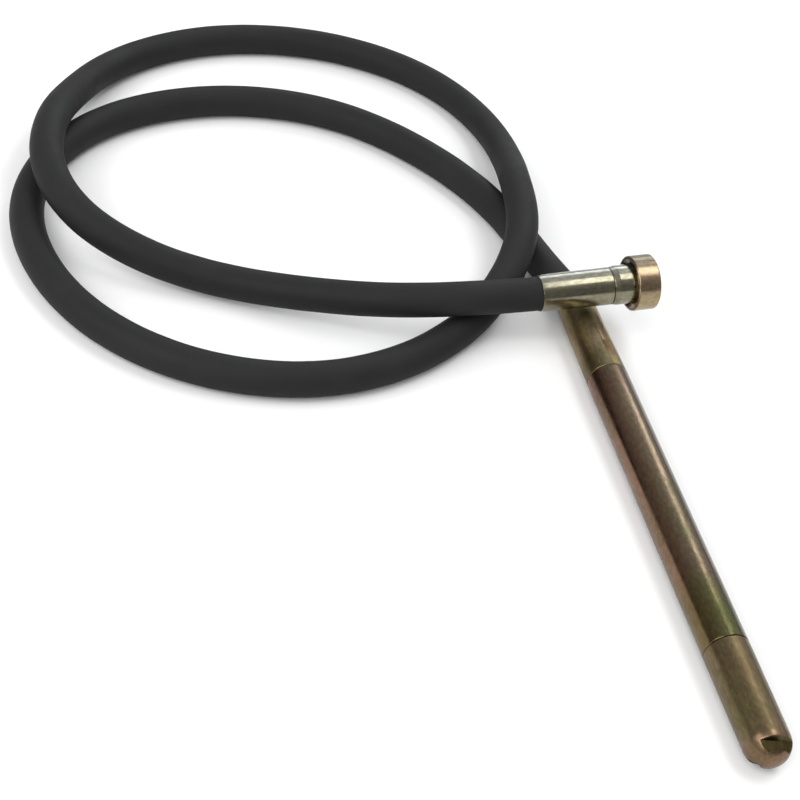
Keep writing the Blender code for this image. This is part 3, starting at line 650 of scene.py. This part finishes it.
def hose_path():
    """From inside the ferrule, along the route, to inside the upper joint."""
    def on_axis(station):
        return tuple(COUPLING_AXIS @ Vector((0, 0, station)))

    route = [on_axis(HOSE_GRIP), on_axis(0), *ROUTE, (0.0, HEAD_TOP_Y + 0.001, HEAD_RADIUS),
             (0.0, HOSE_END_Y, HEAD_RADIUS)]
    return smooth_curve(route, HOSE_STATIONS)


def swept_tube(name, path, outer, inner, sides):
    """A hollow tube along the path, slightly uneven outside, with U along it and V round it in metres."""
    lump_height = 0.00012
    lump_frequency = 45
    points = [Vector(point) for point in path]
    count = len(points)
    frames = []
    side = None
    travelled = 0.0
    for i, point in enumerate(points):
        along = (points[min(i + 1, count - 1)] - points[max(i - 1, 0)]).normalized()
        if side is None:
            side = along.orthogonal()
        side = (side - along * side.dot(along)).normalized()
        if i:
            travelled += (point - points[i - 1]).length
        frames.append((point, side.copy(), along.cross(side), travelled))
    shape = bmesh.new()
    uv = shape.loops.layers.uv.new("along_and_round")
    walls = []
    for radius in (outer, inner):
        rings = []
        for point, across, up, _ in frames:
            ring = []
            for k in range(sides):
                angle = 2 * math.pi * k / sides
                spot = point + (across * math.cos(angle) + up * math.sin(angle)) * radius
                lump = lump_height * noise.noise(spot * lump_frequency) if radius == outer else 0.0
                ring.append(shape.verts.new(spot + (spot - point).normalized() * lump))
            rings.append(ring)
        walls.append(rings)

    def quad(corners, marks):
        face = shape.faces.new(corners)
        face.smooth = True
        for loop, mark in zip(face.loops, marks):
            loop[uv].uv = mark

    turn = 2 * math.pi * outer
    for rings, flip in ((walls[0], True), (walls[1], False)):
        for i in range(count - 1):
            for k in range(sides):
                m = (k + 1) % sides
                corners = [rings[i][k], rings[i][m], rings[i + 1][m], rings[i + 1][k]]
                v0, v1 = turn * k / sides, turn * (k + 1) / sides
                u0, u1 = frames[i][3], frames[i + 1][3]
                marks = [(u0, v0), (u0, v1), (u1, v1), (u1, v0)]
                if not flip:
                    corners.reverse()
                    marks.reverse()
                quad(corners, marks)
    for i, flip in ((0, False), (count - 1, True)):
        for k in range(sides):
            m = (k + 1) % sides
            corners = [walls[0][i][k], walls[0][i][m], walls[1][i][m], walls[1][i][k]]
            if not flip:
                corners.reverse()
            quad(corners, [(0, 0), (0, turn / sides), (outer - inner, turn / sides), (outer - inner, 0)])
    bmesh.ops.recalc_face_normals(shape, faces=shape.faces)
    mesh = bpy.data.meshes.new(name)
    shape.to_mesh(mesh)
    shape.free()
    obj = bpy.data.objects.new(name, mesh)
    SCENE.collection.objects.link(obj)
    mesh.set_sharp_from_angle(angle=math.radians(50))
    return obj


# ---- Putting it together ------------------------------------------------------------------------------
def dress(obj, slot, body_name, *replaced):
    """Gives a new piece its material, its body and the CAD nodes that it stands for."""
    obj.data.materials.clear()
    obj.data.materials.append(MATERIALS[slot])
    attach(obj, body_name)
    if replaced:
        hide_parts(*replaced)


def dress_cad_nodes():
    """Every CAD node that stays gets the material of its slot in the record."""
    for row in frame["record"]["subparts"]:
        node = NODES[row["node"]]
        if not node.hide_render:
            node.data.materials.clear()
            node.data.materials.append(MATERIALS[row["material_slot"]])
            node.data.shade_smooth()
            node.data.set_sharp_from_angle(angle=math.radians(30))


def add_light(name, spot, target, size, power, colour=(1.0, 1.0, 1.0), along=(1.0, 0.0, 0.0)):
    """A soft box at `spot`, facing `target`. Its first size runs as nearly as it can along `along`."""
    data = bpy.data.lights.new(name, "AREA")
    data.shape = "RECTANGLE"
    data.size, data.size_y = size
    data.energy = power
    data.color = colour
    light = bpy.data.objects.new(name, data)
    SCENE.collection.objects.link(light)
    back = (Vector(spot) - Vector(target)).normalized()
    first = Vector(along) - back * back.dot(Vector(along))
    first.normalize()
    turn = Matrix((first, back.cross(first), back)).transposed().to_4x4()
    light.matrix_world = Matrix.Translation(spot) @ turn


def add_dome():
    """A white sky, brightest high up on the right and half as bright at the horizon."""
    brightest_way = (0.5, 0.5, 0.707)
    stops = ((0.25, 0.26), (0.62, 0.55), (0.84, 0.85), (1.0, 1.15))
    haze_top = 0.25
    world = bpy.data.worlds.new("studio")
    SCENE.world = world
    world.use_nodes = True
    nodes = world.node_tree.nodes
    links = world.node_tree.links
    direction = nodes.new("ShaderNodeTexCoord")
    height = nodes.new("ShaderNodeVectorMath")
    height.operation = "DOT_PRODUCT"
    height.inputs[1].default_value = brightest_way
    ramp = nodes.new("ShaderNodeValToRGB")
    for place, _ in stops[2:]:
        ramp.color_ramp.elements.new(place)
    for element, (place, level) in zip(ramp.color_ramp.elements, stops):
        element.position = place
        element.color = (level, level, level, 1.0)
    split = nodes.new("ShaderNodeSeparateXYZ")
    haze = nodes.new("ShaderNodeMapRange")
    haze.inputs["From Max"].default_value = haze_top
    haze.inputs["To Min"].default_value = 0.50
    links.new(direction.outputs["Generated"], height.inputs[0])
    links.new(direction.outputs["Generated"], split.inputs["Vector"])
    links.new(split.outputs["Z"], haze.inputs["Value"])
    links.new(height.outputs["Value"], ramp.inputs["Fac"])
    links.new(ramp.outputs["Color"], nodes["Background"].inputs["Color"])
    links.new(haze.outputs["Result"], nodes["Background"].inputs["Strength"])


def studio():
    """A pale floor, and soft boxes all round under the dome."""
    bpy.ops.mesh.primitive_plane_add(size=80.0, location=(0, 0, 0))
    ground = bpy.context.object
    ground.name = "floor"
    ground.data.materials.append(floor_finish())
    add_light("key", (-1.7, -1.5, 2.2), (-0.15, 0.25, 0.0), (2.6, 2.6), 78.0)
    add_light("side", (-2.9, 0.1, 2.1), (-0.15, 0.25, 0.0), (1.8, 1.8), 32.0)
    add_light("overhead", (0.70, 0.12, 2.4), (0.0, 0.2, 0.0), (0.8, 1.3), 14.0)
    add_light("strip", (1.19, 1.66, 1.63), (0.0, 0.0, 0.0), (1.35, 0.26), 6.5, along=(0.83, 0.54, -0.83))
    add_light("rim", (0.80, 2.6, 1.20), (0.0, 0.2, 0.0), (1.4, 0.9), 10.0, (0.90, 0.96, 1.0))
    add_dome()
    SCENE.view_settings.view_transform = "Standard"


add_camera()
MATERIALS = make_materials()

PATH = hose_path()
hose = swept_tube("hose", PATH, HOSE_RADIUS, HOSE_BORE, HOSE_SIDES)
dress(hose, "hose_rubber", "casing", "rubber_hose")

dress(tip(), "tip_zinc", "casing", "tip_cap")
dress(tube(), "tube_zinc", "casing", "tube_casing")
dress(joint(), "joint_zinc", "casing", "upper_joint")
hose_ferrule = ferrule()
drive_body = body()
drive_flange = flange()
slotted_spindle = spindle()
dress(hose_ferrule, "ferrule_zinc", "casing", "ferrule")
dress(drive_body, "ferrule_zinc", "casing", "coupling_body")
dress(drive_flange, "flange_zinc", "casing", "coupling_flange")
dress(slotted_spindle, "bright_steel", "drive_spindle", "drive_spindle")
dress_cad_nodes()

ON_HOSE = [hose_ferrule, drive_body, drive_flange, slotted_spindle]
ON_HOSE += [NODES[name] for name in ("flange_ring", "spindle_ring", "spindle_seal", "core_end_sleeve",
                                     "spindle_bearing_outer_race", "spindle_bearing_inner_race",
                                     "spindle_bearing_balls")]

studio()
